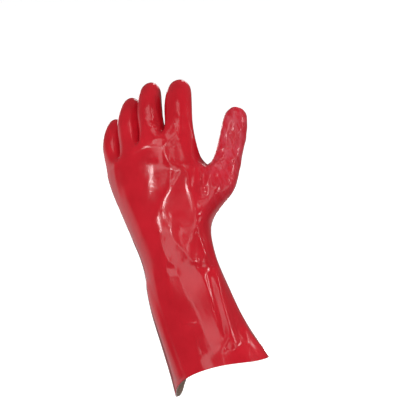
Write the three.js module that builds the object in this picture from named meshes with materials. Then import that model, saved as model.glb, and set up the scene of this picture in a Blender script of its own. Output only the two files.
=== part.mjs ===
// A left-hand PVC dipped work glove with a long gauntlet, in the form it takes on a relaxed hand.
// Millimetres, +Z up along the forearm, origin at the middle of the cuff mouth.
// The front of the glove, its back and thumb side, faces -Y.
import * as THREE from 'three';

// Walls of the two layers and the clearance between them
const coatWall = 1.2;
const liningWall = 1;
const layerGap = 0.3;

// Gauntlet: from the cuff mouth to the wrist
const gauntletLength = 126;
const mouthWidth = 109;
const mouthDepth = 98;
const wristWidth = 78;
const wristDepth = 69;
const gauntletBow = 3.6;
const rimWave = 11;

// Fingers
const fingerLength = 82;
const fingerWidth = 27;
const fingerDepth = 25;
const fingerGap = 0.75;

// Palm: from the wrist to the webs between the fingers
const palmLength = 130;
const knuckleWidth = 4 * (fingerWidth + fingerGap);
const knuckleDepth = 34;
const knuckleArch = 14;
const thenarSwell = 9;
const webDrop = 7;
const webSlope = 9;

// Thumb: how far out from the hand's axis and below the palm its tip lies, its width, and how deep the side
// of the hand is drawn in over its web
const thumbOut = 99;
const thumbDrop = 32;
const thumbWidth = 29;
const webNotch = 5;

// How the hand is held, in degrees
const handTurn = 24;
const wristFlexion = 15;
const wristLean = -2;
const knuckleFlexion = 12;
const middleJointFlexion = 16;
const endJointFlexion = 12;

// Folds of the skin: height and half width of the largest
const foldHeight = 4;
const foldHalfWidth = 15;

// The 12 columns round a section. across and lift: place toward the thumb's side and toward the back.
// rim: rise of the cut edge there, a share of its wave. step: how far the webs step back toward the wrist.
// 0 to 4 cross the back from the little finger's side to the index side, 6 to 10 come back on the palm.
const columns = [
  { across: -0.866, lift: 0.5, rim: -0.7, step: 1 },
  { across: -0.5, lift: 0.866, rim: 0.7, step: 0.9 },
  { across: 0, lift: 1, rim: 1.2, step: 0.2 },
  { across: 0.5, lift: 0.866, rim: 1, step: 0 },
  { across: 0.866, lift: 0.5, rim: 0.2, step: 0.3 },
  { across: 1, lift: 0, rim: -0.3, step: 0.4 },
  { across: 0.866, lift: -0.5, rim: -0.2, step: 0.3 },
  { across: 0.5, lift: -0.866, rim: 0.4, step: 0 },
  { across: 0, lift: -1, rim: 0.9, step: 0.2 },
  { across: -0.5, lift: -0.866, rim: 1.1, step: 0.9 },
  { across: -0.866, lift: -0.5, rim: 0.9, step: 1 },
  { across: -1, lift: 0, rim: -1.45, step: 1.1 },
];

// Gauntlet sections. up: share of the gauntlet's length. flare: 0 at the wrist's size, 1 at the mouth's.
// bow: share of the sideways bow of the axis. rim: share of the rim's wave that still shows here.
const gauntletRows = [
  { up: 0, flare: 1, bow: 0, rim: 1 },
  { up: 0.13, flare: 0.74, bow: -0.4, rim: 0.5 },
  { up: 0.27, flare: 0.55, bow: -0.8, rim: 0.15 },
  { up: 0.42, flare: 0.43, bow: -1, rim: 0 },
  { up: 0.57, flare: 0.36, bow: -1, rim: 0 },
  { up: 0.72, flare: 0.26, bow: -0.9, rim: 0 },
  { up: 0.87, flare: 0.1, bow: -0.4, rim: 0 },
];

// Palm sections. up: share of the palm's length. spread: 0 at the wrist's size, 1 at the knuckles'.
// flat: how far the back and the palm are flattened. arch: share of the arch across the knuckles.
// bend: share of the wrist's flexion. thenar: share of the swelling at the thumb's base.
// notch: share of the thumb web's depth by which the thumb's side is drawn in.
const palmRows = [
  { up: 0, spread: 0, flat: 0, arch: 0, bend: 0.2, thenar: 0, notch: 0 },
  { up: 0.2, spread: 0.15, flat: 0.15, arch: 0.05, bend: 0.6, thenar: 0.35, notch: 0 },
  { up: 0.46, spread: 0.6, flat: 0.4, arch: 0.3, bend: 1, thenar: 1, notch: 0 },
  { up: 0.73, spread: 1.04, flat: 0.75, arch: 0.75, bend: 1, thenar: 0.6, notch: 1 },
  { up: 0.88, spread: 1.06, flat: 1, arch: 1, bend: 1, thenar: 0, notch: 0.5 },
  { up: 1, spread: 1, flat: 1, arch: 1, bend: 1, thenar: 0, notch: 0 },
];

// Fingers from the little finger to the index. reach and girth: shares of the finger's length and width.
// splay: degrees toward the thumb. roll: degrees that its back turns toward the little finger's side.
const fingers = [
  { reach: 0.83, girth: 0.88, splay: -7, roll: 20 },
  { reach: 0.96, girth: 0.98, splay: -3, roll: 10 },
  { reach: 1, girth: 1.04, splay: 2, roll: -4 },
  { reach: 0.88, girth: 1.1, splay: 11, roll: -15 },
];

// Sections of a finger. along: share of its length. girth: share of its half width.
// tip: how many times the depth of an inner surface lies behind the section of the skin, near the tip.
const fingerRows = [
  { along: 0.2, girth: 0.98, tip: 0 },
  { along: 0.42, girth: 1.02, tip: 0 },
  { along: 0.66, girth: 0.97, tip: 0 },
  { along: 0.87, girth: 0.86, tip: 0.6 },
  { along: 0.99, girth: 0.46, tip: 1.2 },
];

// Sections of the thumb, in the palm's frame. along: share of the palm's length. out and drop: shares of
// the tip's reach sideways and below the palm. tilt: degrees that the section is turned from facing sideways
// to facing the webs. width and depth: shares of the thumb's half width. tip: as in a finger.
// web: the same as tip, but only on the side of the thumb's web.
const thumbRows = [
  { along: 0.505, out: 0.65, drop: 0.36, tilt: 26, width: 1.62, depth: 1.35, tip: 0, web: 1 },
  { along: 0.564, out: 0.7, drop: 0.6, tilt: 48, width: 1.18, depth: 1.15, tip: 0, web: 0.6 },
  { along: 0.661, out: 0.768, drop: 0.78, tilt: 61, width: 0.97, depth: 0.98, tip: 0, web: 0 },
  { along: 0.79, out: 0.85, drop: 0.92, tilt: 63, width: 1, depth: 1, tip: 0, web: 0 },
  { along: 0.92, out: 0.935, drop: 0.98, tilt: 64, width: 0.98, depth: 0.98, tip: 0, web: 0 },
  { along: 1.01, out: 0.99, drop: 1, tilt: 67, width: 0.8, depth: 0.8, tip: 0.6, web: 0 },
  { along: 1.055, out: 1.01, drop: 1, tilt: 71, width: 0.4, depth: 0.4, tip: 1.2, web: 0 },
];

// Main folds, as seen from the front or the rear, each along a straight line between two places.
// up: 0 at the rim, 1 at the wrist, 2 at the webs. out: shares of half the knuckles' width toward +X.
// width and height: shares of the largest fold's, with a hollow's height below zero.
const frontFolds = [
  { name: 'panel down the gauntlet', up: [1.2, 0.3], out: [0, 0.14], width: 1.1, height: 0.35 },
  { name: 'ridge right of it', up: [0.76, 0.22], out: [0.58, 0.42], width: 0.6, height: 0.5 },
  { name: 'hollow between them', up: [0.78, 0.28], out: [0.42, 0.34], width: 0.45, height: -0.3 },
  { name: 'ridge left of the panel', up: [0.88, 0.12], out: [-0.74, -0.76], width: 0.5, height: 0.4 },
  { name: 'crease across the wrist', up: [0.95, 0.83], out: [-0.12, 0.52], width: 0.55, height: -0.45 },
  { name: 'ridge along the thumb side', up: [1.62, 0.95], out: [0.74, 0.5], width: 0.55, height: 0.6 },
  { name: 'slanting ridge on the back', up: [1.63, 1.35], out: [0.72, -0.1], width: 0.55, height: 0.65 },
  { name: 'hollow under it', up: [1.4, 1.15], out: [0.42, 0.3], width: 0.6, height: -0.45 },
  { name: 'hollow of the thumb web', up: [1.58, 1.44], out: [1.06, 0.88], width: 0.6, height: -0.7 },
  { name: 'ridge over the index knuckle', up: [1.92, 1.75], out: [0.62, 0.5], width: 0.5, height: 0.5 },
  { name: 'ear at the rim corner', up: [0.25, -0.02], out: [0.72, 0.92], width: 0.5, height: 0.55 },
];
const rearFolds = [
  { name: 'left ridge down the gauntlet', up: [0.85, 0.1], out: [-0.3, -0.42], width: 0.7, height: 0.5 },
  { name: 'hollow down the gauntlet', up: [0.7, 0.15], out: [0.05, 0], width: 0.8, height: -0.45 },
  { name: 'right ridge down the gauntlet', up: [0.8, 0.05], out: [0.4, 0.5], width: 0.6, height: 0.5 },
  { name: 'crease across the wrist', up: [1, 0.95], out: [-0.4, 0.5], width: 0.55, height: -0.7 },
  { name: 'crease round the thumb base', up: [1.72, 1.2], out: [0.55, 0.25], width: 0.6, height: -0.7 },
  { name: 'crease across the palm', up: [1.72, 1.78], out: [-0.35, 0.5], width: 0.5, height: -0.55 },
];

const degree = Math.PI / 180;
const lerp = THREE.MathUtils.lerp;

// Unit vectors of the hand: toward the thumb's side, toward the back and up the forearm
const turn = handTurn * degree;
const acrossAxis = new THREE.Vector3(Math.cos(turn), -Math.sin(turn), 0);
const backAxis = new THREE.Vector3(-Math.sin(turn), -Math.cos(turn), 0);
const upAxis = new THREE.Vector3(0, 0, 1);

// The point reached from another by some lengths along some axes
function shifted(point, axes, lengths) {
  const moved = point.clone();
  axes.forEach((axis, index) => moved.addScaledVector(axis, lengths[index]));
  return moved;
}

// One axis turned toward another by an angle
function turned(axis, toward, angle) {
  return axis.clone().multiplyScalar(Math.cos(angle)).addScaledVector(toward, Math.sin(angle));
}

// Axes of the hand, bent toward the palm by one angle and leaned toward the thumb by another
function bentAxes(flexion, lean) {
  const ahead = turned(upAxis, backAxis, -flexion);
  return {
    along: turned(ahead, acrossAxis, lean),
    across: turned(acrossAxis, ahead, -lean),
    back: turned(backAxis, upAxis, flexion),
  };
}

// Smoothing pulls a ring of control points inward, so control rings are made wider by this much
function ringSwell(count) {
  return 3 / (2 + Math.cos(2 * Math.PI / count));
}

// Height of the knuckles' arch at a place across, over its mean
function archHeight(across) {
  return knuckleArch * (0.5 - across * across);
}

// Bend of a finger at a share of its length, in degrees, as the sum of its three joints
function bendAt(share) {
  const middle = THREE.MathUtils.smoothstep(share, 0.28, 0.52);
  const end = THREE.MathUtils.smoothstep(share, 0.62, 0.84);
  return knuckleFlexion + middleJointFlexion * middle + endJointFlexion * end;
}

// The thumb leaves the body through the faces either side of this column, from this row for two rows
const thumbColumn = 5;
const thumbRow = gauntletRows.length + 1;

const bodySwell = ringSwell(columns.length);
const fingerAngles = [120, 60, 0, -60, -120, 180];
const fingerSwell = ringSwell(fingerAngles.length);
const thumbAngles = [315, 270, 225, 180, 135, 90, 45, 0];
const thumbSwell = ringSwell(thumbAngles.length);

// The control cage of a surface of the glove that lies a depth below the skin: points and four-sided faces
function makeCage(depth) {
  const points = [];
  const quads = [];

  function addPoint(vector) {
    points.push(vector);
    return points.length - 1;
  }

  // Adds a ring of points and the faces from the ring before it
  function growRing(ring, vectors) {
    const next = vectors.map(addPoint);
    ring.forEach((point, index) => {
      const after = (index + 1) % ring.length;
      quads.push([point, ring[after], next[after], next[index]]);
    });
    return next;
  }

  const bodyRings = gauntletRows.map((row) => {
    const halfWidth = (lerp(wristWidth, mouthWidth, row.flare) / 2 - depth) * bodySwell;
    const halfDepth = (lerp(wristDepth, mouthDepth, row.flare) / 2 - depth) * bodySwell;
    const centre = new THREE.Vector3(gauntletBow * row.bow, 0, gauntletLength * row.up);
    return columns.map((column) => addPoint(shifted(
      centre,
      [acrossAxis, backAxis, upAxis],
      [halfWidth * column.across, halfDepth * column.lift, rimWave * row.rim * column.rim],
    )));
  });

  // Each palm section is set on the one before it along the bending axis
  const palmStart = new THREE.Vector3(gauntletBow / 2, 0, gauntletLength);
  let palmCentre = palmStart;
  let palm = null;
  palmRows.forEach((row, index) => {
    palm = bentAxes(wristFlexion * row.bend * degree, wristLean * row.bend * degree);
    if (index > 0) {
      const step = palmLength * (row.up - palmRows[index - 1].up);
      palmCentre = palmCentre.clone().addScaledVector(palm.along, step);
    }
    const swell = lerp(bodySwell, 1, row.flat);
    const halfWidth = (lerp(wristWidth, knuckleWidth, row.spread) / 2 - depth) * bodySwell;
    const halfDepth = (lerp(wristDepth, knuckleDepth, row.spread) / 2 - depth) * swell;
    bodyRings.push(columns.map((column) => {
      const flatLift = Math.sign(column.lift) * Math.min(1, Math.abs(column.lift) * 1.5);
      const lift = halfDepth * lerp(column.lift, flatLift, row.flat);
      const arch = archHeight(column.across) * row.arch;
      const thenar = thenarSwell * row.thenar * 2 * Math.max(0, column.across) * Math.max(0, -column.lift);
      const notch = column === columns[thumbColumn] ? webNotch * row.notch : 0;
      return addPoint(shifted(
        palmCentre,
        [palm.across, palm.back],
        [halfWidth * column.across - notch, lift + arch - thenar],
      ));
    }));
  });

  const webRing = bodyRings[bodyRings.length - 1];
  webRing.forEach((point, column) => {
    points[point].addScaledVector(palm.along, -webDrop - webSlope * columns[column].step - depth);
  });

  bodyRings.slice(1).forEach((upper, row) => {
    const lower = bodyRings[row];
    const besideThumb = row >= thumbRow && row < thumbRow + 2;
    lower.forEach((point, index) => {
      if (besideThumb && (index === thumbColumn - 1 || index === thumbColumn)) return;
      const after = (index + 1) % columns.length;
      quads.push([point, lower[after], upper[after], upper[index]]);
    });
  });

  // One point in the middle of each web; a narrow web sets an inner surface back by twice its depth
  const webPoints = columns.slice(1, fingers.length).map((column) => addPoint(shifted(
    palmCentre,
    [palm.across, palm.back, palm.along],
    [knuckleWidth / 2 * column.across, archHeight(column.across), -webSlope * column.step - 2 * depth],
  )));

  fingers.forEach((finger, index) => {
    const leftWeb = index === 0 ? webRing[11] : webPoints[index - 1];
    const rightWeb = index === 3 ? webRing[thumbColumn] : webPoints[index];
    const roll = finger.roll * degree;
    const splay = finger.splay * degree;
    const side = turned(palm.across, palm.back, roll);
    const lift = turned(palm.back, palm.across, -roll);
    const straight = turned(palm.along, side, splay);
    const level = turned(side, palm.along, -splay);
    const step = (columns[index].step + columns[index + 1].step) / 2;
    const across = (index - 1.5) / 2;
    let centre = shifted(
      palmCentre,
      [palm.across, palm.back, palm.along],
      [knuckleWidth / 2 * across, archHeight(across), -webDrop / 2 - webSlope * step],
    );
    let ring = [
      webRing[index], webRing[index + 1], rightWeb,
      webRing[9 - index], webRing[10 - index], leftWeb,
    ];
    let reached = 0;
    for (const row of fingerRows) {
      const halfWay = bendAt((row.along + reached) / 2) * degree;
      const advance = fingerLength * finger.reach * (row.along - reached);
      centre = centre.clone().addScaledVector(turned(straight, lift, -halfWay), advance);
      reached = row.along;
      const bend = bendAt(row.along) * degree;
      const ahead = turned(straight, lift, -bend);
      const back = turned(lift, straight, bend);
      const halfWidth = (fingerWidth / 2 * finger.girth - depth) * row.girth * fingerSwell;
      const halfDepth = (fingerDepth / 2 * finger.girth - depth) * row.girth * fingerSwell;
      ring = growRing(ring, fingerAngles.map((angle) => shifted(
        centre,
        [level, back, ahead],
        [halfWidth * Math.cos(angle * degree), halfDepth * Math.sin(angle * degree), -depth * row.tip],
      )));
    }
    quads.push([ring[0], ring[1], ring[2], ring[5]]);
    quads.push([ring[5], ring[2], ring[3], ring[4]]);
  });

  const [low, middle, high] = bodyRings.slice(thumbRow, thumbRow + 3);
  let thumbRing = [low[4], low[5], low[6], middle[6], high[6], high[5], high[4], middle[4]];
  for (const row of thumbRows) {
    const centre = shifted(
      palmStart,
      [palm.along, palm.across, palm.back],
      [palmLength * row.along, thumbOut * row.out, -thumbDrop * row.drop],
    );
    const ahead = turned(palm.across, palm.along, row.tilt * degree);
    const webSide = turned(palm.along, palm.across, -row.tilt * degree);
    const halfWidth = (thumbWidth / 2 - depth) * row.width * thumbSwell;
    const halfDepth = (thumbWidth / 2 - depth) * row.depth * thumbSwell;
    thumbRing = growRing(thumbRing, thumbAngles.map((angle) => {
      const webShare = Math.max(0, Math.sin(angle * degree)) ** 3;
      return shifted(
        centre,
        [palm.back, webSide, ahead],
        [
          halfDepth * Math.cos(angle * degree),
          halfWidth * Math.sin(angle * degree),
          -depth * (row.tip + row.web * webShare),
        ],
      );
    }));
  }
  quads.push([thumbRing[0], thumbRing[1], thumbRing[6], thumbRing[7]]);
  quads.push([thumbRing[1], thumbRing[2], thumbRing[5], thumbRing[6]]);
  quads.push([thumbRing[2], thumbRing[3], thumbRing[4], thumbRing[5]]);
  return usedOnly(points, quads);
}

// Leaves out the points that no face uses, such as the one inside the thumb's root
function usedOnly(vertices, faces) {
  const used = [...new Set(faces.flat())].sort((a, b) => a - b);
  const place = new Map(used.map((index, order) => [index, order]));
  return {
    vertices: used.map((index) => vertices[index]),
    faces: faces.map((face) => face.map((index) => place.get(index))),
  };
}

// A key for the edge between two points, the same from both sides
function edgeKey(a, b) {
  return a < b ? `${a}_${b}` : `${b}_${a}`;
}

// Edges of a set of faces, each with its two ends and the faces beside it
function edgesOf(faces) {
  const edges = new Map();
  faces.forEach((face, faceIndex) => face.forEach((start, corner) => {
    const end = face[(corner + 1) % face.length];
    const key = edgeKey(start, end);
    if (!edges.has(key)) edges.set(key, { ends: [start, end], faces: [] });
    edges.get(key).faces.push(faceIndex);
  }));
  return edges;
}

function meanOf(vectors) {
  const sum = new THREE.Vector3();
  vectors.forEach((vector) => sum.add(vector));
  return sum.divideScalar(vectors.length);
}

// One step of Catmull-Clark smoothing of a cage whose only open edge is the cuff mouth
function smoothed({ vertices, faces }) {
  const facePoints = faces.map((face) => meanOf(face.map((index) => vertices[index])));
  const around = vertices.map(() => ({ faces: [], middles: [], rim: [] }));
  faces.forEach((face, faceIndex) => {
    face.forEach((index) => around[index].faces.push(facePoints[faceIndex]));
  });
  const result = vertices.map(() => null);
  const edgePlace = new Map();
  edgesOf(faces).forEach((edge, key) => {
    const middle = meanOf(edge.ends.map((index) => vertices[index]));
    edge.ends.forEach((index) => around[index].middles.push(middle));
    if (edge.faces.length === 1) {
      edge.ends.forEach((index) => around[index].rim.push(middle));
      edgePlace.set(key, result.push(middle) - 1);
    } else {
      const sides = meanOf(edge.faces.map((index) => facePoints[index]));
      edgePlace.set(key, result.push(meanOf([middle, sides])) - 1);
    }
  });
  vertices.forEach((vertex, index) => {
    const { faces: sides, middles, rim } = around[index];
    if (rim.length === 2) {
      result[index] = meanOf([vertex, vertex, ...rim]);
      return;
    }
    const valence = sides.length;
    result[index] = meanOf(sides)
      .addScaledVector(meanOf(middles), 2)
      .addScaledVector(vertex, valence - 3)
      .divideScalar(valence);
  });
  const finer = [];
  faces.forEach((face, faceIndex) => {
    const middle = result.push(facePoints[faceIndex]) - 1;
    face.forEach((index, corner) => {
      const after = face[(corner + 1) % face.length];
      const before = face[(corner + face.length - 1) % face.length];
      const ahead = edgePlace.get(edgeKey(index, after));
      const behind = edgePlace.get(edgeKey(before, index));
      finer.push([index, ahead, middle, behind]);
    });
  });
  return { vertices: result, faces: finer };
}

// Moves every vertex of a four-sided mesh to its place on the smooth surface that such steps tend to
function settled({ vertices, faces }) {
  const near = vertices.map(() => ({ edges: new Set(), across: [], rim: [] }));
  faces.forEach((face) => face.forEach((index, corner) => {
    near[index].edges.add(face[(corner + 1) % 4]);
    near[index].edges.add(face[(corner + 3) % 4]);
    near[index].across.push(face[(corner + 2) % 4]);
  }));
  edgesOf(faces).forEach((edge) => {
    if (edge.faces.length > 1) return;
    near[edge.ends[0]].rim.push(edge.ends[1]);
    near[edge.ends[1]].rim.push(edge.ends[0]);
  });
  return vertices.map((vertex, index) => {
    const { edges, across, rim } = near[index];
    if (rim.length === 2) {
      return vertex.clone().multiplyScalar(4).add(vertices[rim[0]]).add(vertices[rim[1]]).divideScalar(6);
    }
    const valence = across.length;
    const sum = vertex.clone().multiplyScalar(valence * valence);
    edges.forEach((other) => sum.addScaledVector(vertices[other], 4));
    across.forEach((other) => sum.add(vertices[other]));
    return sum.divideScalar(valence * (valence + 5));
  });
}

// Unit normals at the vertices, level at the rim so that a fold there moves the cut edge sideways only
function normalsOf(vertices, faces) {
  const normals = vertices.map(() => new THREE.Vector3());
  faces.forEach((face) => {
    const [a, b, c, d] = face.map((index) => vertices[index]);
    const normal = c.clone().sub(a).cross(d.clone().sub(b));
    face.forEach((index) => normals[index].add(normal));
  });
  edgesOf(faces).forEach((edge) => {
    if (edge.faces.length === 1) edge.ends.forEach((index) => normals[index].setZ(0));
  });
  return normals.map((normal) => normal.normalize());
}

// Height over the rim of a place given as 0 at the rim, 1 at the wrist and 2 at the webs
function heightOf(up) {
  return up < 1 ? gauntletLength * up : gauntletLength + palmLength * (up - 1);
}

// Rise of the skin at a vertex from a fold. It fades to the fold's sides and past its ends, and also where
// the skin turns away from the side that the fold is seen from; facing is 1 where it looks straight there.
function foldRise(fold, vertex, facing) {
  const start = new THREE.Vector2(fold.out[0] * knuckleWidth / 2, heightOf(fold.up[0]));
  const end = new THREE.Vector2(fold.out[1] * knuckleWidth / 2, heightOf(fold.up[1]));
  const run = end.sub(start);
  const place = new THREE.Vector2(vertex.x, vertex.z);
  const share = THREE.MathUtils.clamp(place.clone().sub(start).dot(run) / run.lengthSq(), 0, 1);
  const distance = place.distanceTo(start.addScaledVector(run, share));
  const inside = Math.max(0, 1 - (distance / (foldHalfWidth * fold.width)) ** 2);
  return foldHeight * fold.height * inside * inside * THREE.MathUtils.smoothstep(facing, 0, 0.5);
}

// How far the folds move each vertex of the skin
function foldMoves(vertices, faces) {
  return normalsOf(vertices, faces).map((normal, index) => {
    const front = frontFolds.map((fold) => foldRise(fold, vertices[index], -normal.y));
    const rear = rearFolds.map((fold) => foldRise(fold, vertices[index], normal.y));
    const rise = [...front, ...rear].reduce((sum, part) => sum + part, 0);
    return normal.multiplyScalar(rise);
  });
}

const plainSkin = smoothed(makeCage(0));
const skinFaces = plainSkin.faces;
const moves = foldMoves(settled(plainSkin), skinFaces);

// Vertices of the surface that lies a depth below the skin, with the folds
function surfaceAt(depth) {
  return settled(smoothed(makeCage(depth))).map((vertex, index) => vertex.add(moves[index]));
}

// A closed wall between two depths below the skin, joined at the rim
function makeWall(outerDepth, innerDepth) {
  const outer = surfaceAt(outerDepth);
  const vertices = [...outer, ...surfaceAt(innerDepth)];
  const count = outer.length;
  const triangles = [];
  skinFaces.forEach(([a, b, c, d]) => {
    triangles.push(a, b, c, a, c, d);
    triangles.push(a + count, c + count, b + count, a + count, d + count, c + count);
  });
  edgesOf(skinFaces).forEach((edge) => {
    if (edge.faces.length > 1) return;
    const [start, end] = edge.ends;
    triangles.push(end, start, start + count, end, start + count, end + count);
  });
  const geometry = new THREE.BufferGeometry();
  const positions = vertices.flatMap((vertex) => vertex.toArray());
  geometry.setAttribute('position', new THREE.Float32BufferAttribute(positions, 3));
  geometry.setIndex(triangles);
  geometry.computeVertexNormals();
  return geometry;
}

function makeCoat() {
  const material = new THREE.MeshStandardMaterial({ color: 0xb81c2b, roughness: 0.22, metalness: 0 });
  const mesh = new THREE.Mesh(makeWall(0, coatWall), material);
  mesh.name = 'pvc_coat';
  return mesh;
}

function makeLining() {
  const material = new THREE.MeshStandardMaterial({ color: 0xcbb9a0, roughness: 0.95, metalness: 0 });
  const depth = coatWall + layerGap;
  const mesh = new THREE.Mesh(makeWall(depth, depth + liningWall), material);
  mesh.name = 'cotton_lining';
  return mesh;
}

const glove = new THREE.Group();
glove.add(makeCoat(), makeLining());

export default glove;
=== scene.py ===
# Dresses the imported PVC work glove: the glossy dipped skin with its folds and the knitted lining.
# Lengths in the tables are millimetres, in the part's own frame; the meshes are in metres.
import math
import bpy
import numpy as np
from mathutils import Matrix, Quaternion, Vector


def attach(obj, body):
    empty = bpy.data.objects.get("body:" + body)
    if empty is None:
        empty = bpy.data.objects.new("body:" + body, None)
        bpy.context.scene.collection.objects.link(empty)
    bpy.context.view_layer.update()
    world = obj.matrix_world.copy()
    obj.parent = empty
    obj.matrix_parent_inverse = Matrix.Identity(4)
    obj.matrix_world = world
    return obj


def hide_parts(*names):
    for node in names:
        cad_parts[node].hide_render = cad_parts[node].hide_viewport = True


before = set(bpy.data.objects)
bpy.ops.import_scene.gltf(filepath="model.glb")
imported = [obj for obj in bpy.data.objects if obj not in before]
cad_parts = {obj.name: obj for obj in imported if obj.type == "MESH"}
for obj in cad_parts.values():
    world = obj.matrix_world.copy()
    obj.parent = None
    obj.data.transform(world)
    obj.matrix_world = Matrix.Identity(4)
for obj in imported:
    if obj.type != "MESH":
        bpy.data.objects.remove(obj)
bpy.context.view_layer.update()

MM = 0.001

# Sizes, the same as the part's
COAT_WALL = 1.2
LINING_WALL = 1.0
LAYER_GAP = 0.3
GAUNTLET_LENGTH = 126
MOUTH_WIDTH = 109
MOUTH_DEPTH = 98
WRIST_WIDTH = 78
WRIST_DEPTH = 69
GAUNTLET_BOW = 3.6
RIM_WAVE = 11
FINGER_LENGTH = 82
FINGER_WIDTH = 27
FINGER_DEPTH = 25
FINGER_GAP = 0.75
PALM_LENGTH = 130
KNUCKLE_WIDTH = 4 * (FINGER_WIDTH + FINGER_GAP)
KNUCKLE_DEPTH = 34
KNUCKLE_ARCH = 14
THENAR_SWELL = 9
WEB_DROP = 7
WEB_SLOPE = 9
THUMB_OUT = 99
THUMB_DROP = 32
THUMB_WIDTH = 29
WEB_NOTCH = 5
HAND_TURN = 24
WRIST_FLEXION = 15
WRIST_LEAN = -2
KNUCKLE_FLEXION = 12
MIDDLE_JOINT_FLEXION = 16
END_JOINT_FLEXION = 12
MIDDLE_JOINT_SPAN = (0.28, 0.52)
END_JOINT_SPAN = (0.62, 0.84)
FOLD_HEIGHT = 4
FOLD_HALF_WIDTH = 15

# How far the skin faces the front or rear where a fold sets in and where it is full, and a facet's least
MAIN_FACING = (0, 0.5)
FINE_FACING = (0.05, 0.4)
FACET_FACING = 0.2
# Heights, 0 at the rim and 1 at the wrist: how far up the folds spare the rim, and where the hand sets in
RIM_REACH = 0.12
WRIST_BLEND = (0.85, 1.15)

# columns round a section: across, lift, rim, step
COLUMNS = [
    (-0.866, 0.5, -0.7, 1), (-0.5, 0.866, 0.7, 0.9), (0, 1, 1.2, 0.2), (0.5, 0.866, 1, 0),
    (0.866, 0.5, 0.2, 0.3), (1, 0, -0.3, 0.4), (0.866, -0.5, -0.2, 0.3), (0.5, -0.866, 0.4, 0),
    (0, -1, 0.9, 0.2), (-0.5, -0.866, 1.1, 0.9), (-0.866, -0.5, 0.9, 1), (-1, 0, -1.45, 1.1),
]
# gauntlet sections: up, flare, bow, rim
GAUNTLET_ROWS = [
    (0, 1, 0, 1), (0.13, 0.74, -0.4, 0.5), (0.27, 0.55, -0.8, 0.15), (0.42, 0.43, -1, 0),
    (0.57, 0.36, -1, 0), (0.72, 0.26, -0.9, 0), (0.87, 0.1, -0.4, 0),
]
# palm sections: up, spread, flat, arch, bend, thenar, notch
PALM_ROWS = [
    (0, 0, 0, 0, 0.2, 0, 0), (0.2, 0.15, 0.15, 0.05, 0.6, 0.35, 0), (0.46, 0.6, 0.4, 0.3, 1, 1, 0),
    (0.73, 1.04, 0.75, 0.75, 1, 0.6, 1), (0.88, 1.06, 1, 1, 1, 0, 0.5), (1, 1, 1, 1, 1, 0, 0),
]
# fingers from the little finger: reach, girth, splay, roll
FINGERS = [(0.83, 0.88, -7, 20), (0.96, 0.98, -3, 10), (1, 1.04, 2, -4), (0.88, 1.1, 11, -15)]
# finger sections: along, girth, tip
FINGER_ROWS = [(0.2, 0.98, 0), (0.42, 1.02, 0), (0.66, 0.97, 0), (0.87, 0.86, 0.6), (0.99, 0.46, 1.2)]
# thumb sections: along, out, drop, tilt, width, depth, tip, web
THUMB_ROWS = [
    (0.505, 0.65, 0.36, 26, 1.62, 1.35, 0, 1), (0.564, 0.7, 0.6, 48, 1.18, 1.15, 0, 0.6),
    (0.661, 0.768, 0.78, 61, 0.97, 0.98, 0, 0), (0.79, 0.85, 0.92, 63, 1, 1, 0, 0),
    (0.92, 0.935, 0.98, 64, 0.98, 0.98, 0, 0), (1.01, 0.99, 1, 67, 0.8, 0.8, 0.6, 0),
    (1.055, 1.01, 1, 71, 0.4, 0.4, 1.2, 0),
]
# the part's main folds: up, out, width, height
FRONT_MAIN = [
    ([1.2, 0.3], [0, 0.14], 1.2, 0.2), ([0.76, 0.22], [0.58, 0.42], 0.6, 0.5),
    ([0.78, 0.3], [0.45, 0.37], 0.35, -0.25), ([0.88, 0.12], [-0.74, -0.76], 0.5, 0.4),
    ([0.95, 0.83], [-0.12, 0.52], 0.55, -0.2), ([1.62, 0.95], [0.74, 0.5], 0.6, 0.12),
    ([1.63, 1.35], [0.72, -0.1], 0.6, 0.12), ([1.4, 1.15], [0.42, 0.3], 0.7, -0.08),
    ([1.58, 1.44], [1.06, 0.88], 0.6, -0.7), ([1.92, 1.75], [0.62, 0.5], 0.5, 0.2),
    ([0.25, -0.02], [0.72, 0.92], 0.5, 0.55),
]
REAR_MAIN = [
    ([0.85, 0.1], [-0.3, -0.42], 0.7, 0.5), ([0.7, 0.15], [0.05, 0], 0.8, -0.45),
    ([0.8, 0.05], [0.4, 0.5], 0.6, 0.5), ([1, 0.95], [-0.4, 0.5], 0.55, -0.7),
    ([1.72, 1.2], [0.55, 0.25], 0.6, -0.7), ([1.72, 1.78], [-0.35, 0.5], 0.5, -0.55),
]

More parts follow.
